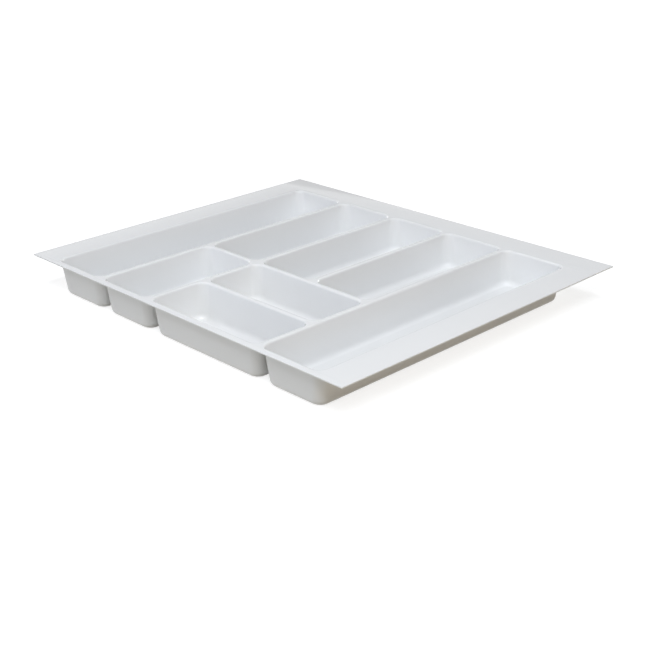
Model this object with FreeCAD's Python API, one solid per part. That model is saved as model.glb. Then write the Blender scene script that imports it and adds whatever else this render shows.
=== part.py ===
import FreeCAD
import Part
import math
import os

# Cutlery tray for a kitchen drawer, vacuum formed from one sheet of white plastic.
# The sheet is divided into zones on flat cuts through its deck: four strips of flange round the edge
# and eight wells, each with its half of the ridges that it shares with its neighbours.
# Millimetres. X runs along the front edge, Y from the front edge to the back, Z up.
# The origin is on the surface that the tray stands on, below the middle of the tray.

# Layout, seen from above. Rows and columns are measured to the middles of the ridges.
column_pitch = 100.0
wide_row_depth = 88.5
rear_row_depth = 262.0
front_rim_width = 7.0
side_flange_width = 40.0
rear_flange_width = 39.0

# Height over all, and the sheet: full thickness on the deck, stretched thinner in the wells
tray_height = 47.0
deck_thickness = 1.8
wall_thickness = 1.2

# Ridges. The width is taken between the walls of two wells, carried up to the deck.
# The flat is what the rounded lips leave along the middle, on top of the ridge and under it.
ridge_width = 7.1
ridge_flat = 2.0

# Form of a well. Its upright corners widen from the deck down to the floor's own corners.
wall_draft_deg = 5.0
deck_corner_radius = 12.0
floor_corner_radius = 6.0
floor_edge_radius = 7.5

# Rows, from front to back
front_row_depth = 2 * wide_row_depth
tray_depth = front_rim_width + front_row_depth + rear_row_depth + rear_flange_width
front_side = -tray_depth / 2
rear_side = tray_depth / 2
front_line = front_side + front_rim_width
wide_row_line = front_line + wide_row_depth
row_line = front_line + front_row_depth
rear_line = rear_side - rear_flange_width

# Each well's cell: its first and last column line, then its front and rear lines
wells = {
    "left_long_compartment": (0, 1, front_line, rear_line),
    "front_left_compartment": (1, 2, front_line, row_line),
    "front_wide_compartment": (2, 4, front_line, wide_row_line),
    "middle_wide_compartment": (2, 4, wide_row_line, row_line),
    "rear_left_compartment": (1, 2, row_line, rear_line),
    "rear_middle_compartment": (2, 3, row_line, rear_line),
    "rear_right_compartment": (3, 4, row_line, rear_line),
    "right_long_compartment": (4, 5, front_line, rear_line),
}

# Columns, from left to right
column_count = max(last for first, last, front, rear in wells.values())
tray_width = column_count * column_pitch + 2 * side_flange_width
left_side = -tray_width / 2
right_side = tray_width / 2
left_line = left_side + side_flange_width
right_line = right_side - side_flange_width

# Levels and slopes of the sheet
deck_underside = tray_height - deck_thickness
draft_angle = math.radians(wall_draft_deg)
draft_slope = math.tan(draft_angle)
corner_radius_below = floor_corner_radius + floor_edge_radius
corner_growth = (corner_radius_below - deck_corner_radius) / (tray_height - wall_thickness)


def rounded_rectangle(x_low, x_high, y_low, y_high, radius, z):
    """A closed wire at height z: four straight sides joined by quarter arcs."""
    bow = radius * (1 - math.sqrt(0.5))
    corners = [
        ((x_low, y_low + radius), (x_low + bow, y_low + bow), (x_low + radius, y_low)),
        ((x_high - radius, y_low), (x_high - bow, y_low + bow), (x_high, y_low + radius)),
        ((x_high, y_high - radius), (x_high - bow, y_high - bow), (x_high - radius, y_high)),
        ((x_low + radius, y_high), (x_low + bow, y_high - bow), (x_low, y_high - radius)),
    ]
    arcs = [[FreeCAD.Vector(x, y, z) for x, y in corner] for corner in corners]
    edges = []
    for k, arc in enumerate(arcs):
        edges.append(Part.Arc(*arc).toShape())
        edges.append(Part.LineSegment(arc[2], arcs[(k + 1) % len(arcs)][0]).toShape())
    return Part.Wire(edges)


def well_section(cell, z, skin):
    """A well's outline at height z, moved out from its inner wall by the skin's thickness."""
    x_low, x_high, y_low, y_high = cell
    drop = tray_height - z
    outset = skin / math.cos(draft_angle)
    inset = ridge_width / 2 + drop * draft_slope - outset
    radius = deck_corner_radius + drop * corner_growth + outset
    return rounded_rectangle(x_low + inset, x_high - inset, y_low + inset, y_high - inset, radius, z)


def is_level(edge, z):
    """Whether an edge lies at height z from end to end."""
    return all(abs(vertex.Z - z) < Part.Precision.approximation() for vertex in edge.Vertexes)


def well_block(cell, z_low, z_high, skin):
    """A solid block with a well's drafted walls, widening upright corners and rounded bottom edge."""
    block = Part.makeLoft([well_section(cell, z_low, skin), well_section(cell, z_high, skin)], True, True)
    bottom_edges = [edge for edge in block.Edges if is_level(edge, z_low)]
    return block.makeFillet(floor_edge_radius + skin, bottom_edges)


def on_border(edge, cell):
    """Whether an edge runs along the straight border of its cell."""
    x_low, x_high, y_low, y_high = cell
    middle = edge.CenterOfMass
    distance = min(middle.x - x_low, x_high - middle.x, middle.y - y_low, y_high - middle.y)
    return distance < Part.Precision.approximation()


def round_lip(shell, cell, z, wall_to_line):
    """Rounds the edge that goes round the well at height z, as far as the flat along the cell's border."""
    radius = (wall_to_line - ridge_flat / 2) / math.tan(math.pi / 4 - draft_angle / 2)
    edges = [edge for edge in shell.Edges if is_level(edge, z) and not on_border(edge, cell)]
    return shell.makeFillet(radius, edges)


def plate(x_low, x_high, y_low, y_high):
    """A flat rectangle of the deck, in the full thickness of the sheet."""
    corner = FreeCAD.Vector(x_low, y_low, deck_underside)
    return Part.makeBox(x_high - x_low, y_high - y_low, deck_thickness, corner)


def compartment(cell):
    """One well with its share of the deck: rounded lip, drafted walls and rounded floor."""
    tub = well_block(cell, 0, tray_height - deck_thickness / 2, wall_thickness)
    hollow = well_block(cell, wall_thickness, tray_height + deck_thickness, 0)
    shell = plate(*cell).fuse(tub).cut(hollow).removeSplitter()
    inner_wall_to_line = ridge_width / 2
    wall_across = wall_thickness / math.cos(draft_angle)
    outer_wall_to_line = inner_wall_to_line + deck_thickness * draft_slope - wall_across
    shell = round_lip(shell, cell, tray_height, inner_wall_to_line)
    return round_lip(shell, cell, deck_underside, outer_wall_to_line)


# The flange: the front rim and the rear strip run the full width, the side strips lie between them
nodes = {
    "front_rim": plate(left_side, right_side, front_side, front_line),
    "rear_trim_flange": plate(left_side, right_side, rear_line, rear_side),
    "left_trim_flange": plate(left_side, left_line, front_line, rear_line),
    "right_trim_flange": plate(right_line, right_side, front_line, rear_line),
}
for name, (first, last, front, rear) in wells.items():
    left = left_line + first * column_pitch
    right = left_line + last * column_pitch
    nodes[name] = compartment((left, right, front, rear))

os.makedirs("parts", exist_ok=True)
for name, shape in nodes.items():
    shape.exportStep("parts/" + name + ".step")
    print(name, "solids", len(shape.Solids), "valid", shape.isValid(), "volume", round(shape.Volume))
print("tray", tray_width, "x", tray_depth, "x", tray_height)
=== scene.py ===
# %% [markdown]
# A white cutlery tray for a kitchen drawer. The real one is a single sheet of plastic, warmed until it is
# soft and drawn by vacuum into a mould, so everything on it is one smooth skin: flat deck, rounded lips,
# leaning walls and rounded floors.
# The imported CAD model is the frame. It gives every place and overall size, in metres, and the pieces made
# here take the place of its solids with a finer skin and a real finish.

# %% The frame
import bmesh
import bpy
import math
from mathutils import Matrix, Vector


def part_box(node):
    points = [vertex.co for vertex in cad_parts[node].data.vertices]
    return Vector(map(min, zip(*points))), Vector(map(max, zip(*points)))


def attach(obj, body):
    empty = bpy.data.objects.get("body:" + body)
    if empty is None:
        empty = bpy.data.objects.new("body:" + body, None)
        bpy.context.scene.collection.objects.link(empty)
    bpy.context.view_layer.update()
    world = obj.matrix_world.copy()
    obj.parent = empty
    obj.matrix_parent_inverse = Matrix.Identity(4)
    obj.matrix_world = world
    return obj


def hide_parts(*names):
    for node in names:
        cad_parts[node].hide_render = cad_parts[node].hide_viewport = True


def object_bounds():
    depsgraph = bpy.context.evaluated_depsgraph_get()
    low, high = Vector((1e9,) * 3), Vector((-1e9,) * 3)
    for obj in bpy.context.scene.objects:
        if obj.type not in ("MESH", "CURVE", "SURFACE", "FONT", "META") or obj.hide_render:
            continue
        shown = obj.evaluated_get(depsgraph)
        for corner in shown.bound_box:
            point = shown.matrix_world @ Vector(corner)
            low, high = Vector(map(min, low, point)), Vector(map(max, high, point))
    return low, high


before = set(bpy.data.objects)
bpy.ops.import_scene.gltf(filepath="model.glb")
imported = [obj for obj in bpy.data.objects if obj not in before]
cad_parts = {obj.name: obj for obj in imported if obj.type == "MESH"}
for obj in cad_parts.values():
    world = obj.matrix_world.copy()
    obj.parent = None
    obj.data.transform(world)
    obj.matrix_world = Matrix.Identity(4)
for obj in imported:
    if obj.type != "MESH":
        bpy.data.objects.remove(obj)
cad_box = [list(corner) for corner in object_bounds()]
deck_top = cad_box[1][2]
print("CAD nodes", len(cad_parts), "box", cad_box)

# %% [markdown]
# The camera comes first, because every later choice is judged through it. A lens could be guessed and the
# camera pushed about until the picture fits, but the four straight edges of the flange already tell where
# a picture was taken from: their convergence gives the lens and their directions give the place. The
# values below are that solution, so nothing is shifted and nothing is out of focus.

# %% Camera
camera_place = Vector((1.0554, -1.0004, 0.5750))
camera_aim = Vector((0.1556, -0.1394, 0.0470))
camera_roll = math.radians(-0.994)
camera_lens_mm = 66.476
sensor_mm = 36.0

camera = bpy.data.objects.new("camera", bpy.data.cameras.new("camera"))
camera.data.sensor_width = sensor_mm
camera.data.lens = camera_lens_mm
level_turn = (camera_aim - camera_place).to_track_quat("-Z", "Y").to_matrix()
rolled_turn = (level_turn @ Matrix.Rotation(camera_roll, 3, "Z")).to_4x4()
camera.matrix_world = Matrix.Translation(camera_place) @ rolled_turn
bpy.context.scene.collection.objects.link(camera)
bpy.context.scene.camera = camera
print("camera", round((camera_aim - camera_place).length, 3), "m from its aim")

# %% [markdown]
# Both the shapes and the finish below are rules made of nodes. Adding Math nodes one by one hides the rule
# behind its wiring, so a small class wraps an output socket and lets Python's own operators add them: a sum
# reads as a sum. Every other kind of node comes from one helper that sets the node's options first,
# because they decide which sockets it has. Two smaller helpers take up what every finish repeats.


# %% Nodes written as sums
def add_node(tree, kind, settings=None, sockets=None, output=0):
    """Adds a node: its settings first, then a value or a link for each input, by name or by number."""
    node = tree.nodes.new(kind)
    for name, value in (settings or {}).items():
        setattr(node, name, value)
    for key, value in (sockets or {}).items():
        if isinstance(value, Wire):
            tree.links.new(value.socket, node.inputs[key])
        else:
            node.inputs[key].default_value = value
    return Wire(node.outputs[output]) if node.outputs else None


class Wire:
    """An output socket that Python can calculate with."""

    def __init__(self, socket):
        self.socket = socket

    def other(self, name):
        """Another output of the same node."""
        return Wire(self.socket.node.outputs[name])

    def math(self, operation, *values):
        """A Math node that takes this value first and the others after it."""
        numbered = dict(enumerate((self, *values)))
        return add_node(self.socket.id_data, "ShaderNodeMath", {"operation": operation}, numbered)

    def __add__(self, value):
        return self.math("ADD", value)

    def __sub__(self, value):
        return self.math("SUBTRACT", value)

    def __mul__(self, value):
        return self.math("MULTIPLY", value)

    def __truediv__(self, value):
        return self.math("DIVIDE", value)

    def __rsub__(self, value):
        return self * -1 + value

    def __gt__(self, value):
        return self.math("GREATER_THAN", value)

    def __lt__(self, value):
        return self.math("LESS_THAN", value)

    __radd__ = __add__
    __rmul__ = __mul__


def empty_tree(owner):
    """The node tree of a new material or world, without the nodes that it starts with."""
    owner.use_nodes = True
    owner.node_tree.nodes.clear()
    return owner.node_tree


def mix_colours(tree, factor, first, second):
    """A colour between two others. A Mix node takes colours at its inputs 6 and 7, for its output 2."""
    sockets = {"Factor": factor, 6: first, 7: second}
    return add_node(tree, "ShaderNodeMix", {"data_type": "RGBA", "clamp_factor": True}, sockets, output=2)


print("nodes can be written as sums")

# %% [markdown]
# Seen in section, every well is the same: from the middle of the floor the sheet turns up through a round
# edge, climbs a wall that leans out by a few degrees so that the tray comes off its mould, rolls over a lip
# and runs flat to the line where the next zone begins. The underside follows at the thickness of the sheet,
# which stretches thinner as it is drawn down.
# The section could be drawn as a curve with handles, but arcs and tangents are exact and need only the
# sizes a mould maker would name. Each point keeps its distance in from the cell's border, its height and
# the radius that the well's corner has there in plan.

# %% The section of a well
deck_thickness = 0.0018
wall_thickness = 0.0012
ridge_width = 0.0071
ridge_flat = 0.0020
wall_draft = math.radians(5)
deck_corner_radius = 0.0120
floor_corner_radius = 0.0060
floor_edge_radius = 0.0075
support = 0.0006
lip_steps = 12
floor_edge_steps = 14

quarter_turn = math.pi / 2
half_flat = ridge_flat / 2
deck_underside = deck_top - deck_thickness
wall_to_line = ridge_width / 2
wall_across = wall_thickness / math.cos(wall_draft)
draft_slope = math.tan(wall_draft)
corner_radius_below = floor_corner_radius + floor_edge_radius
corner_growth = (corner_radius_below - deck_corner_radius) / (deck_top - wall_thickness)


def arc(centre, radius, start, end, steps):
    """Points of an arc, and one on the tangent past either end, which keeps the flat beyond it flat."""
    points = []
    for k in range(-1, steps + 2):
        turn = start + (end - start) * min(max(k, 0), steps) / steps
        past = math.copysign(support, end - start) * ((k > steps) - (k < 0))
        inset = centre[0] + radius * math.cos(turn) - past * math.sin(turn)
        height = centre[1] + radius * math.sin(turn) + past * math.cos(turn)
        points.append((inset, height))
    return points


def lip_radius(wall_inset):
    """The radius that rounds a lip from the leaning wall to the edge of the ridge's flat."""
    return (wall_inset - half_flat) / math.tan(math.pi / 4 - wall_draft / 2)


floor_edge_height = wall_thickness + floor_edge_radius
outer_edge_radius = wall_thickness + floor_edge_radius
wall_inset_there = wall_to_line + (deck_top - floor_edge_height) * draft_slope
floor_edge_centre = (wall_inset_there + floor_edge_radius / math.cos(wall_draft), floor_edge_height)
wall_end = wall_draft - math.pi
upper_lip = lip_radius(wall_to_line)
lower_lip = lip_radius(wall_to_line + deck_thickness * draft_slope - wall_across)

section = arc(floor_edge_centre, floor_edge_radius, -quarter_turn, wall_end, floor_edge_steps)
section += arc((half_flat, deck_top - upper_lip), upper_lip, wall_draft, quarter_turn, lip_steps)
section += [(0, deck_top), (0, deck_underside)]
section += arc((half_flat, deck_underside - lower_lip), lower_lip, quarter_turn, wall_draft, lip_steps)
section += arc(floor_edge_centre, outer_edge_radius, wall_end, -quarter_turn, floor_edge_steps)
print("section points", len(section), "lip radius", round(upper_lip * 1000, 2), "mm")

# %% The section as points that a node tree can read


def corner_radius(inset, height):
    """The well's corner radius in plan: it grows with depth and shrinks with the distance in."""
    to_arc_centre = wall_to_line + deck_corner_radius
    to_arc_centre += (deck_top - height) * (draft_slope + corner_growth)
    return to_arc_centre - inset if inset > 0 else 0


def section_mesh():
    """A mesh of loose points, one for each point of the section."""
    mesh = bpy.data.meshes.new("well_section")
    mesh.from_pydata([(inset, 0, height) for inset, height in section], [], [])
    radii = mesh.attributes.new("corner_radius", "FLOAT", "POINT")
    radii.data.foreach_set("value", [corner_radius(*point) for point in section])
    return mesh


print("corner radius", [round(corner_radius(*section[k]) * 1000, 1) for k in (0, len(section) - 1)], "mm")

# %% [markdown]
# A well is its section carried round a rectangle with rounded corners. Sweeping a curve along a path would
# keep one corner radius from top to bottom, while here the corners widen with depth. So the tree starts
# from a tube with as many rings as the section has points and puts every ring in its place: ring by ring
# it looks up inset, height and corner radius, and column by column it walks round the four corners.
# The tube's two end caps become the floor and its underside, so the skin is closed from the start.

# %% Geometry nodes: a formed well
sharp_angle = math.radians(40)
merge_distance = 1e-6


def well_tree():
    """The tree that carries a section of loose points round a rounded rectangle."""
    tree = bpy.data.node_groups.new("formed_well", "GeometryNodeTree")
    inputs = {"Section": "Geometry", "Width": "Float", "Depth": "Float", "Centre": "Vector",
              "Support": "Float", "Corner Steps": "Int", "Sheet": "Material"}
    for name, kind in inputs.items():
        tree.interface.new_socket(name, in_out="INPUT", socket_type="NodeSocket" + kind)
    tree.interface.new_socket("Well", in_out="OUTPUT", socket_type="NodeSocketGeometry")
    given = add_node(tree, "NodeGroupInput")
    points = given.other("Section")

    # A corner has a column at every step of its arc, one where the arc begins and one past either end
    corner_steps = given.other("Corner Steps")
    corner_columns = corner_steps + 3
    columns = corner_columns * 4
    rings = add_node(tree, "GeometryNodeAttributeDomainSize", {"component": "MESH"}, {"Geometry": points})
    tube_sockets = {"Vertices": columns, "Side Segments": rings - 1}
    tube = add_node(tree, "GeometryNodeMeshCylinder", {"fill_type": "NGON"}, tube_sockets)

    index = add_node(tree, "GeometryNodeInputIndex")
    ring = (index / columns).math("FLOOR")
    column = index - ring * columns
    corner = (column / corner_columns).math("FLOOR")
    step = column - corner * corner_columns
    turned = ((step - 1) / corner_steps).math("MAXIMUM", 0).math("MINIMUM", 1)
    past = given.other("Support") * ((step > corner_steps + 1) - (step < 1))
    angle = (corner + turned) * quarter_turn
    facing = (corner + 0.5) * quarter_turn

    place = add_node(tree, "GeometryNodeInputPosition")
    place_sockets = {"Geometry": points, "Value": place, "Index": ring}
    place_there = add_node(tree, "GeometryNodeSampleIndex", {"data_type": "FLOAT_VECTOR"}, place_sockets)
    inset = add_node(tree, "ShaderNodeSeparateXYZ", {}, {0: place_there})
    height = inset.other("Z")
    attribute = {"Name": "corner_radius"}
    stored = add_node(tree, "GeometryNodeInputNamedAttribute", {"data_type": "FLOAT"}, attribute)
    radius_sockets = {"Geometry": points, "Value": stored, "Index": ring}
    radius = add_node(tree, "GeometryNodeSampleIndex", {"data_type": "FLOAT"}, radius_sockets)

    cosine = angle.math("COSINE")
    sine = angle.math("SINE")
    half_width = given.other("Width") / 2 - inset - radius
    half_depth = given.other("Depth") / 2 - inset - radius
    x = half_width * facing.math("COSINE").math("SIGN") + radius * cosine - past * sine
    y = half_depth * facing.math("SINE").math("SIGN") + radius * sine + past * cosine
    position = add_node(tree, "ShaderNodeCombineXYZ", {}, {0: x, 1: y, 2: height})
    shell_sockets = {"Geometry": tube, "Position": position, "Offset": given.other("Centre")}
    shell = add_node(tree, "GeometryNodeSetPosition", {}, shell_sockets)
    shell = add_node(tree, "GeometryNodeMergeByDistance", {}, {0: shell, "Distance": merge_distance})

    faces = {0: shell, "Shade Smooth": True}
    shell = add_node(tree, "GeometryNodeSetShadeSmooth", {"domain": "FACE"}, faces)
    bend = add_node(tree, "GeometryNodeInputMeshEdgeAngle")
    edges = {0: shell, "Selection": bend > sharp_angle, "Shade Smooth": False}
    shell = add_node(tree, "GeometryNodeSetShadeSmooth", {"domain": "EDGE"}, edges)
    shell = add_node(tree, "GeometryNodeRealizeInstances", {}, {0: shell})
    shell = add_node(tree, "GeometryNodeSetMaterial", {}, {0: shell, "Material": given.other("Sheet")})
    add_node(tree, "NodeGroupOutput", {}, {0: shell})
    return tree


formed_well = well_tree()
print("formed_well tree", len(formed_well.nodes), "nodes")

# %% [markdown]
# The finish is that of white polystyrene as it comes off a mould: a soft gloss, a touch cool and never quite
# even. One flat colour would read as paper. What the eye takes as plastic is small: a slow drift of tone
# where the sheet was stretched, a skin like fine orange peel that softens every reflection, a faint wave
# over the large flats, and patches where handling has dulled or polished the gloss. Bump heights are
# written in metres, so each layer can be thought of as a real depth.
# The outer edges were cut after forming. There the skin is gone, and knife marks run through the thickness.

# %% The finish of the sheet
sheet_shade = (0.875, 0.880, 0.885, 1)
sheet_light = (0.915, 0.920, 0.925, 1)
skin_roughness = 0.11
handling_change = 0.05
cut_roughness = 0.30
plastic_ior = 1.57
tone_size = 0.12
tone_contrast = 1.2
speck_contrast = 0.3
handling_size = 0.035
wave_size = 0.06
wave_depth = 0.00012
peel_size = 0.0022
peel_depth = 0.000003
grain_size = 0.0004
grain_depth = 0.0000006
cut_mark_size = 0.0005
cut_mark_depth = 0.00004
cut_mark_stretch = 20


def sheet_material():
    """White formed plastic, with a duller, scored finish where the attribute named trimmed is 1."""
    material = bpy.data.materials.new("white_formed_sheet")
    tree = empty_tree(material)
    place = add_node(tree, "ShaderNodeTexCoord", output="Object")

    def noise(size, detail, where=place):
        """Noise around zero, with features of about this size."""
        sockets = {"Vector": where, "Scale": 1 / size, "Detail": detail}
        return add_node(tree, "ShaderNodeTexNoise", {}, sockets) - 0.5

    trimmed = add_node(tree, "ShaderNodeAttribute", {"attribute_name": "trimmed"}, output="Fac")
    stretched = (1, 1, 1 / cut_mark_stretch)
    through = add_node(tree, "ShaderNodeMapping", {}, {"Vector": place, "Scale": stretched})
    tone = 0.5 + noise(tone_size, 3) * tone_contrast + noise(peel_size, 1) * speck_contrast
    colour = mix_colours(tree, tone, sheet_shade, sheet_light)
    roughness = skin_roughness + noise(handling_size, 4) * handling_change + trimmed * cut_roughness

    skin = noise(peel_size, 2) * peel_depth + noise(grain_size, 1) * grain_depth
    skin = skin * (1 - trimmed) + noise(cut_mark_size, 2, through) * cut_mark_depth * trimmed
    height = skin + noise(wave_size, 1) * wave_depth
    bump = add_node(tree, "ShaderNodeBump", {}, {"Strength": 1, "Distance": 1, "Height": height})
    sockets = {"Base Color": colour, "Roughness": roughness, "IOR": plastic_ior, "Normal": bump}
    plastic = add_node(tree, "ShaderNodeBsdfPrincipled", {}, sockets)
    add_node(tree, "ShaderNodeOutputMaterial", {}, {"Surface": plastic})
    return material


white_sheet = sheet_material()
print("white_formed_sheet", len(white_sheet.node_tree.nodes), "nodes")

# %% [markdown]
# Now the eight wells. Each takes its cell from the box of the CAD solid that it stands for, so a wide well
# and a long one differ only in two numbers. A modifier is fine while a shape is being tried, but what is
# kept has to be a plain mesh, so the evaluated result is taken and the modifier goes.

# %% The eight wells
corner_steps = 18
wells = [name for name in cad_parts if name.endswith("_compartment")]


def signed_volume(mesh):
    """The volume that a closed mesh encloses, positive when its faces point outwards."""
    form = bmesh.new()
    form.from_mesh(mesh)
    volume = form.calc_volume(signed=True)
    form.free()
    return volume


def dress(piece, node):
    """Puts a finished piece in the place of its CAD node."""
    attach(piece, "root")
    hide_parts(node)
    print(piece.name, len(piece.data.polygons), "faces", round(signed_volume(piece.data) * 1e6, 1), "cm3")


def form_well(node):
    """One well: the section carried round the node's cell, kept as a plain mesh."""
    low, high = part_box(node)
    piece = bpy.data.objects.new(node.replace("compartment", "well"), section_mesh())
    bpy.context.scene.collection.objects.link(piece)
    centre = (low + high) / 2
    values = {"Width": high.x - low.x, "Depth": high.y - low.y, "Centre": (centre.x, centre.y, 0.0),
              "Support": support, "Corner Steps": corner_steps, "Sheet": white_sheet}
    forming = piece.modifiers.new("forming", "NODES")
    forming.node_group = formed_well
    for item in formed_well.interface.items_tree:
        if item.name in values:
            forming[item.identifier] = values[item.name]
    formed = piece.evaluated_get(bpy.context.evaluated_depsgraph_get())
    mesh = bpy.data.meshes.new_from_object(formed)
    piece.modifiers.remove(forming)
    piece.data = mesh
    return piece


for node in wells:
    dress(form_well(node), node)

# %% [markdown]
# The flange round the wells is the flat part of the sheet that is cut back to fit a drawer. Four plain boxes
# would do for its size, but a cut edge is never a perfect corner: it catches a thin line of light. So the
# strips are boxes whose outer edges alone are rounded. Edges where two zones meet stay square, because the
# real sheet has no joint there. The cut faces are marked, so that the finish can treat them as cut.

# %% The four strips of the flange
cut_edge_round = 0.0004
cut_edge_steps = 3
strips = [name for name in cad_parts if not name.endswith("_compartment")]


def on_rim(point):
    """Whether a point lies on the outer edge of the tray, seen from above."""
    reach = [min(abs(point[axis] - cad_box[end][axis]) for end in (0, 1)) for axis in (0, 1)]
    return min(reach) < merge_distance


def cut_strip(node):
    """One strip of flange: a plate with rounded outer edges and marked cut faces."""
    low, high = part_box(node)
    form = bmesh.new()
    bmesh.ops.create_cube(form, size=1)
    for vertex in form.verts:
        vertex.co = [low[axis] if vertex.co[axis] < 0 else high[axis] for axis in range(3)]
    outer = [edge for edge in form.edges if on_rim((edge.verts[0].co + edge.verts[1].co) / 2)]
    bmesh.ops.bevel(form, geom=outer, offset=cut_edge_round, segments=cut_edge_steps, profile=0.5,
                    affect="EDGES")
    bmesh.ops.recalc_face_normals(form, faces=form.faces)
    mesh = bpy.data.meshes.new(node)
    form.to_mesh(mesh)
    form.free()
    marks = mesh.attributes.new("trimmed", "FLOAT", "FACE")
    marks.data.foreach_set("value", [float(on_rim(face.center)) for face in mesh.polygons])
    mesh.shade_smooth()
    mesh.set_sharp_from_angle(angle=sharp_angle)
    mesh.materials.append(white_sheet)
    piece = bpy.data.objects.new(node + "_strip", mesh)
    bpy.context.scene.collection.objects.link(piece)
    return piece


for node in strips:
    dress(cut_strip(node), node)

# %% [markdown]
# The floor and the background are white and stay out of the picture's way. Piling light on a floor until it
# turns white would burn out a white tray as well. Instead, rays that come from the camera, or by way of a
# reflection, see a lifted floor, which still shows the tray's soft shadow and rises to full white further
# out, like the sweep of paper in a studio. Rays that only carry light meet a pale, warm table, and that is
# what tints the walls under the flange.

# %% Floor and background
floor_reach = 6.0
floor_colour = (0.50, 0.50, 0.50, 1)
floor_bounce = (0.42, 0.385, 0.31, 1)
floor_lift = 0.76
shadow_reach = 0.55
sweep_length = 0.8
sky_colour = (0.97, 0.98, 1.0, 1)
sky_strength = 0.16
white = (1, 1, 1, 1)


def seen_rays(tree):
    """1 for rays that the picture shows: straight from the camera, in a reflection or through glass."""
    rays = add_node(tree, "ShaderNodeLightPath")
    shown = rays.math("MAXIMUM", rays.other("Is Glossy Ray"))
    return shown.math("MAXIMUM", rays.other("Is Transmission Ray"))


def table_material():
    """White with a soft shadow to look at, and pale and warm for the light that it throws back."""
    material = bpy.data.materials.new("pale_table")
    tree = empty_tree(material)
    seen = seen_rays(tree)
    colour = mix_colours(tree, seen, floor_bounce, floor_colour)
    matt = add_node(tree, "ShaderNodeBsdfDiffuse", {}, {"Color": colour})
    place = add_node(tree, "ShaderNodeTexCoord", output="Object")
    distance = add_node(tree, "ShaderNodeVectorMath", {"operation": "LENGTH"}, {0: place}, output="Value")
    outside = ((distance - shadow_reach) / sweep_length).math("MAXIMUM", 0).math("MINIMUM", 1)
    strength = seen * (floor_lift + outside * (1 - floor_lift))
    lift = add_node(tree, "ShaderNodeEmission", {}, {"Color": white, "Strength": strength})
    both = add_node(tree, "ShaderNodeAddShader", {}, {0: matt, 1: lift})
    add_node(tree, "ShaderNodeOutputMaterial", {}, {"Surface": both})
    return material


def white_surroundings():
    """White to look at, and a soft, faintly cool light for the tray."""
    world = bpy.data.worlds.new("surroundings")
    tree = empty_tree(world)
    seen = seen_rays(tree)
    colour = mix_colours(tree, seen, sky_colour, white)
    strength = sky_strength + seen * (1 - sky_strength)
    light = add_node(tree, "ShaderNodeBackground", {}, {"Color": colour, "Strength": strength})
    add_node(tree, "ShaderNodeOutputWorld", {}, {"Surface": light})
    return world


table = bpy.data.meshes.new("table")
corners = [(-1, -1), (1, -1), (1, 1), (-1, 1)]
table_points = [(x * floor_reach, y * floor_reach, cad_box[0][2]) for x, y in corners]
table.from_pydata(table_points, [], [(0, 1, 2, 3)])
table.materials.append(table_material())
floor = bpy.data.objects.new("table", table)
bpy.context.scene.collection.objects.link(floor)
bpy.context.scene.world = white_surroundings()
print("table", floor_reach * 2, "m wide")

# %% [markdown]
# The light is a plain studio set: a broad key light beside the camera, a second broad one at the right, two
# small lamps, one overhead and one high in front, a lamp at the left, and low fills all round. One big lamp
# would do for the exposure, but formed plastic needs more: the broad lights model the walls softly, and the
# smaller ones put points of light in the corners of the floors and draw the lips as thin bright lines. The
# fill at the right is warm, like light that comes off a table. The low fills at the left and the back are
# for the other side of the tray, where the outer walls would sink into grey without them. Every lamp is
# given by the direction that it comes from, because that is what shows on the tray. Colours are judged at
# this level of light, so that a white tray stays a little below white.

# %% Lights
light_distance = 1.7
lights = {
    "key": {"azimuth": 315, "elevation": 45, "size": 0.65, "power": 6.9, "colour": (0.91, 0.97, 1.0)},
    "right": {"azimuth": 5, "elevation": 56, "size": 0.65, "power": 5.2, "colour": (0.87, 0.92, 1.0)},
    "front": {"azimuth": 268, "elevation": 62, "size": 0.2, "power": 2.9, "colour": (1.0, 1.0, 1.0)},
    "top": {"azimuth": 80, "elevation": 88, "size": 0.2, "power": 3.3, "colour": (1.0, 1.0, 1.0)},
    "left": {"azimuth": 232, "elevation": 40, "size": 0.3, "power": 2.6, "colour": (0.88, 0.89, 1.0)},
    "front_fill": {"azimuth": 270, "elevation": 14, "size": 0.65, "power": 4.3, "colour": (0.84, 0.9, 1.0)},
    "right_fill": {"azimuth": 348, "elevation": 14, "size": 0.65, "power": 2.3, "colour": (1.0, 0.77, 0.5)},
    "left_fill": {"azimuth": 180, "elevation": 4, "size": 0.2, "power": 4.2, "colour": (1.0, 1.0, 1.0)},
    "back_fill": {"azimuth": 90, "elevation": 4, "size": 0.2, "power": 4.2, "colour": (1.0, 1.0, 1.0)},
}
light_aim = Vector((0, 0, deck_top / 2))


def soft_box(name, azimuth, elevation, size, power, colour):
    """A square area light that faces the tray from a direction given in degrees."""
    lamp = bpy.data.lights.new(name, "AREA")
    lamp.size = size
    lamp.energy = power
    lamp.color = colour
    level = Matrix.Rotation(math.radians(azimuth), 3, "Z")
    raised = Matrix.Rotation(math.radians(-elevation), 3, "Y")
    direction = level @ raised @ Vector((1, 0, 0))
    box = bpy.data.objects.new(name, lamp)
    box.location = light_aim + direction * light_distance
    box.rotation_euler = direction.to_track_quat("Z", "Y").to_euler()
    bpy.context.scene.collection.objects.link(box)


for name, light in lights.items():
    soft_box(name, **light)
print("lights", ", ".join(lights))

# %% [markdown]
# Standard view: a colour in the picture is the colour that left the surface.

# %% Close
bpy.context.scene.view_settings.view_transform = "Standard"
